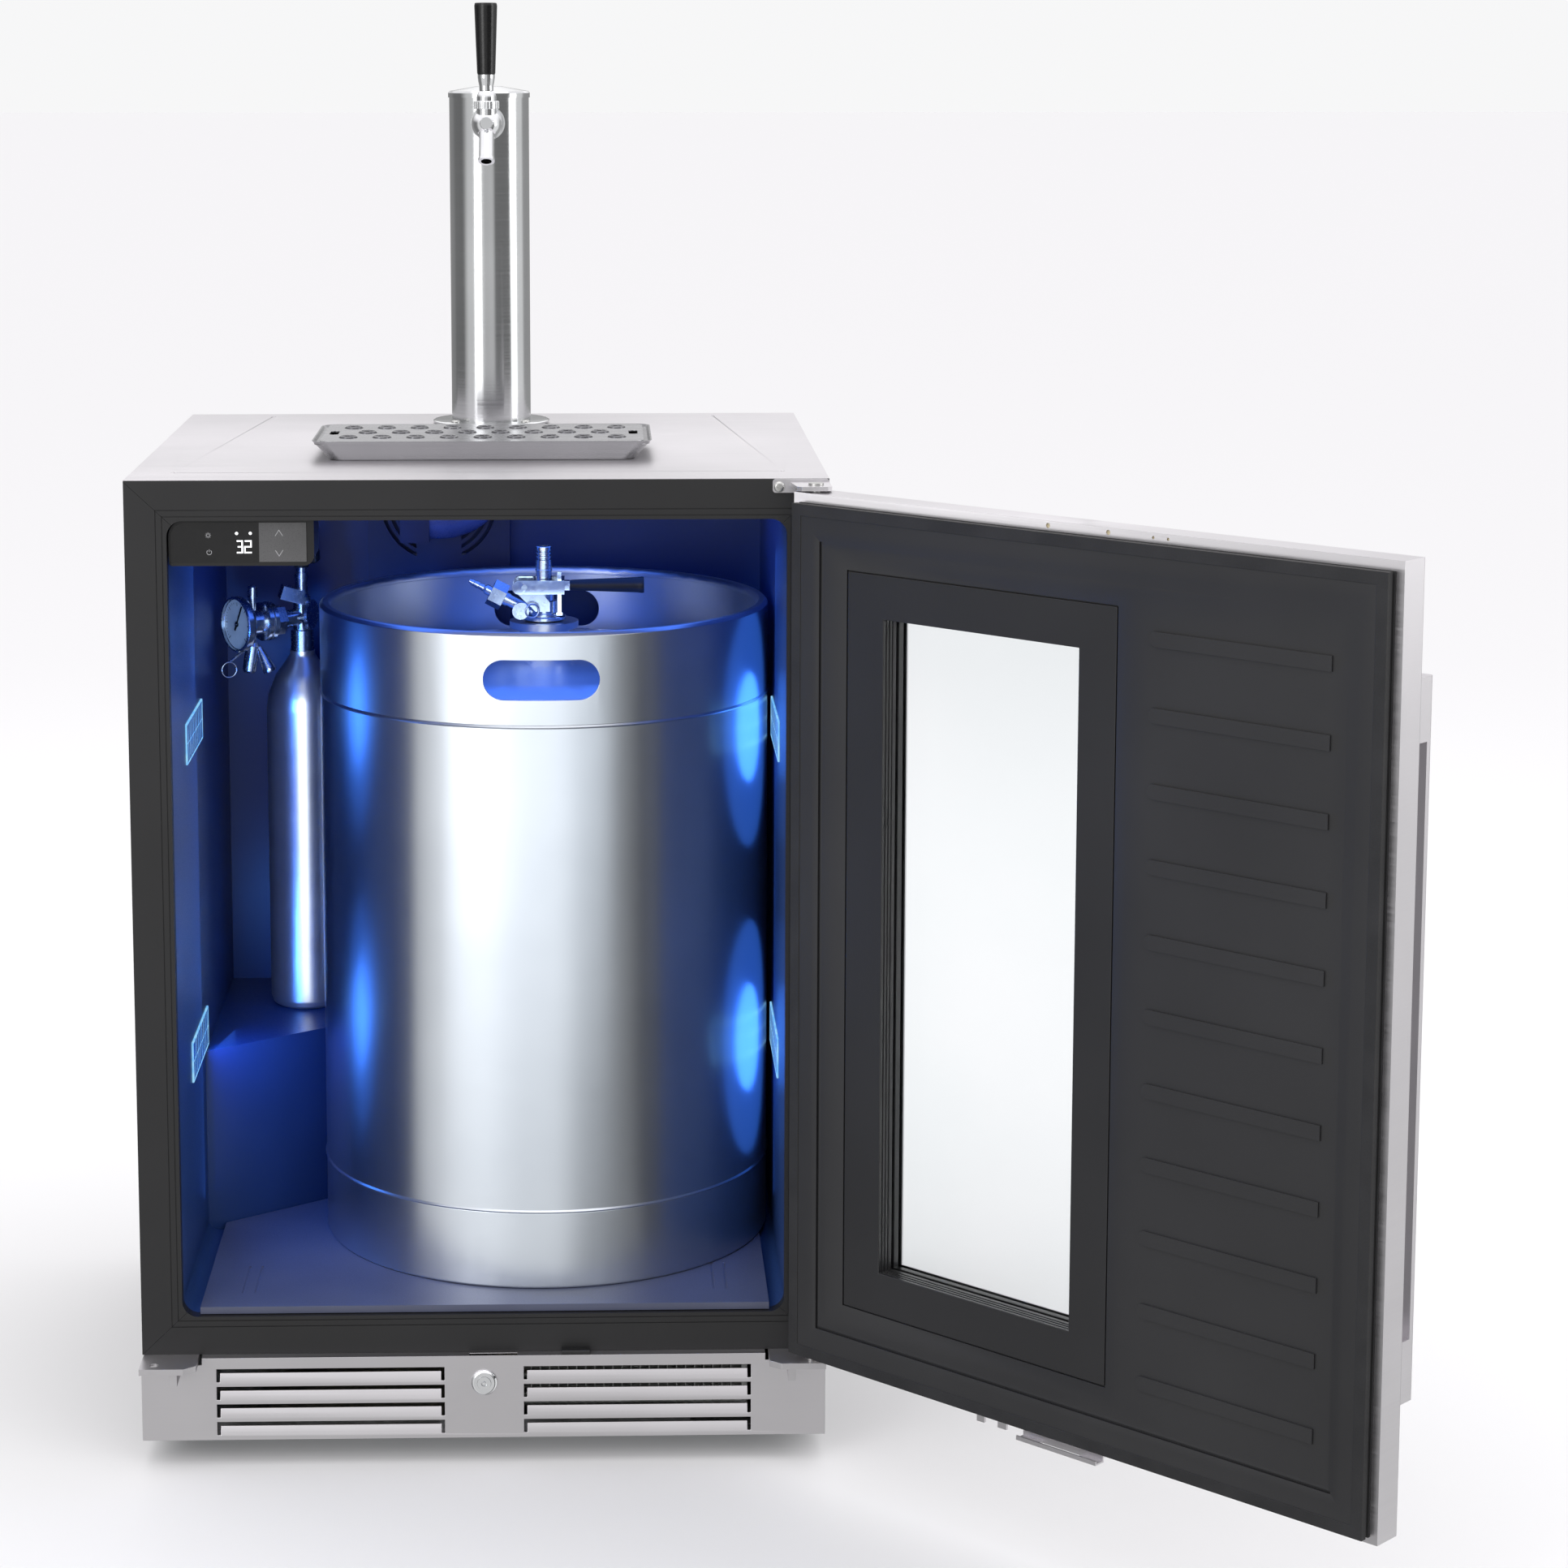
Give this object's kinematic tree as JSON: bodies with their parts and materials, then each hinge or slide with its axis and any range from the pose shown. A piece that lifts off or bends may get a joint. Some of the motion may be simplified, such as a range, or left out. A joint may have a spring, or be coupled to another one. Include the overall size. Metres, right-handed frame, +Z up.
{
  "type": "kegerator",
  "caption": "Refrigerated beer dispenser with a glazed steel door, draft tower and tap, drip tray, and a keg with coupler and gas cylinder inside.",
  "frame": {"origin": "on the floor, centred on the cabinet's width, in the plane of the front frame's face", "axes": "+Z up, +X to the right seen from the front, +Y from the front towards the back"},
  "size_m": [1.0229, 0.9966, 1.2649],
  "materials": {
    "stainless_sheet": "satin",
    "stainless_keg": "satin",
    "stainless_polished": "polished",
    "black_cabinet": "satin",
    "galvanised_steel": "matte",
    "black_bracket": "satin",
    "frame_plastic": "satin",
    "liner_plastic": "satin",
    "door_liner_plastic": "satin",
    "gasket_rubber": "matte",
    "foam": "matte",
    "window_glass": "gloss",
    "lamp_lens": "gloss",
    "control_plastic": "satin",
    "touch_screen": "gloss",
    "black_plastic": "satin",
    "floor_plastic": "satin",
    "tap_handle_plastic": "gloss",
    "lever_grip": "satin",
    "cylinder_aluminium": "satin",
    "chromed_brass": "polished",
    "compressor_enamel": "gloss",
    "coil_metal": "satin",
    "fan_plastic": "satin",
    "zinc_screw": "satin",
    "duct_plastic": "satin",
    "needle_metal": "matte",
    "bush_nylon": "satin"
  },
  "bodies": {
    "cabinet": {"side_panels": "black_cabinet", "top_panel": "stainless_sheet", "rear_panels": "galvanised_steel", "power_inlet": "black_plastic", "base_pan": "galvanised_steel", "levelling_feet": "black_plastic", "foam_insulation": "foam", "inner_liner": "liner_plastic", "front_frame": "frame_plastic", "kick_plate": "stainless_sheet", "lock_housing": "chromed_brass", "door_switch": "black_plastic", "hinge_brackets_lower": "black_bracket", "hinge_bracket_upper": "black_bracket", "hinge_pins": "zinc_screw", "cross_screws": "zinc_screw", "compressor": "compressor_enamel", "condenser_coil": "coil_metal", "fan_motors": "fan_plastic", "evaporator_cover": "liner_plastic", "evaporator_coil": "coil_metal", "tower_air_duct": "duct_plastic", "led_lamps": "lamp_lens", "control_housing": "control_plastic", "control_panel": "touch_screen", "floor_plate": "floor_plastic", "tower_column": "stainless_polished", "tower_cap": "stainless_polished", "faucet_body": "stainless_polished", "faucet_bonnet": "stainless_polished"},
    "door": {"door_shell": "stainless_sheet", "door_liner": "door_liner_plastic", "door_foam": "foam", "window_frame": "door_liner_plastic", "window_glass": "window_glass", "door_gasket": "gasket_rubber", "door_handle": "stainless_sheet", "lock_strike": "stainless_sheet", "door_bushes": "bush_nylon"},
    "lock": {"lock_cylinder": "chromed_brass"},
    "evaporator_fan": {"evaporator_fan": "fan_plastic"},
    "condenser_fan": {"condenser_fan": "fan_plastic"},
    "keg": {"keg_shell": "stainless_keg", "keg_bottom_chime": "stainless_keg", "keg_top_chime": "stainless_keg", "coupler_body": "stainless_polished"},
    "coupler_lever": {"coupler_lever": "stainless_polished", "coupler_grip": "lever_grip"},
    "coupler_probe": {"coupler_probe": "stainless_polished"},
    "coupler_relief": {"coupler_relief": "stainless_polished"},
    "tap_lever": {"tap_lever": "stainless_polished", "tap_handle": "tap_handle_plastic"},
    "drip_tray": {"drip_tray": "stainless_sheet"},
    "drip_grate": {"drip_grate": "stainless_sheet"},
    "co2_cylinder": {"co2_bottle": "cylinder_aluminium", "co2_valve": "chromed_brass", "regulator_body": "chromed_brass", "pressure_gauge": "chromed_brass"},
    "co2_handwheel": {"co2_handwheel": "black_plastic"},
    "gauge_needle": {"gauge_needle": "needle_metal"}
  },
  "joints": [
    {"name": "door_hinge", "type": "hinge", "parent": "cabinet", "child": "door", "pos_m": [0.2846, -0.026, 0.48], "axis": [0, 0, 1], "range_deg": [-135, 0]},
    {"name": "lock_turn", "type": "hinge", "parent": "cabinet", "child": "lock", "pos_m": [0, -0.006, 0.073], "axis": [0, -1, 0], "range_deg": [0, 90]},
    {"name": "keg_slide", "type": "slide", "parent": "cabinet", "child": "keg", "axis": [0, -1, 0], "range_m": [0, 0.46]},
    {"name": "coupler_handle", "type": "hinge", "parent": "keg", "child": "coupler_lever", "pos_m": [0.035, 0.248, 0.7363], "axis": [0, -1, 0], "range_deg": [0, 25]},
    {"name": "coupler_probe_slide", "type": "slide", "parent": "keg", "child": "coupler_probe", "axis": [0, 0, 1], "range_m": [0, 0.0078]},
    {"name": "coupler_relief_pull", "type": "slide", "parent": "keg", "child": "coupler_relief", "axis": [0, -1, 0], "range_m": [0, 0.003], "stiffness_N_per_m": 600},
    {"name": "tap_lever_pull", "type": "hinge", "parent": "cabinet", "child": "tap_lever", "pos_m": [0, 0.372, 1.177], "axis": [1, 0, 0], "range_deg": [0, 40]},
    {"name": "evaporator_fan_spin", "type": "hinge", "parent": "cabinet", "child": "evaporator_fan", "pos_m": [-0.0525, 0.48, 0.7835], "axis": [0, 1, 0], "continuous": true},
    {"name": "condenser_fan_spin", "type": "hinge", "parent": "cabinet", "child": "condenser_fan", "pos_m": [0.118, 0.093, 0.06], "axis": [0, 1, 0], "continuous": true},
    {"name": "drip_tray_lift", "type": "slide", "parent": "cabinet", "child": "drip_tray", "axis": [0, 0, 1], "range_m": [0, 0.04]},
    {"name": "drip_grate_lift", "type": "slide", "parent": "drip_tray", "child": "drip_grate", "axis": [0, 0, 1], "range_m": [0, 0.03]},
    {"name": "co2_lift", "type": "slide", "parent": "cabinet", "child": "co2_cylinder", "axis": [0, 0, 1], "range_m": [0, 0.06]},
    {"name": "co2_valve_turn", "type": "hinge", "parent": "co2_cylinder", "child": "co2_handwheel", "pos_m": [-0.181, 0.398, 0.742], "axis": [0, 0, 1], "range_deg": [0, 360]},
    {"name": "gauge_pointer", "type": "hinge", "parent": "co2_cylinder", "child": "gauge_needle", "pos_m": [-0.2393, 0.35407, 0.684], "axis": [-0.7986, -0.6018, 0], "range_deg": [-60, 200], "stiffness_Nm_per_rad": 0.001}
  ],
  "couplings": [
    {"joint": "coupler_probe_slide", "follows": "coupler_handle", "m_per_rad": 0.0172}
  ]
}
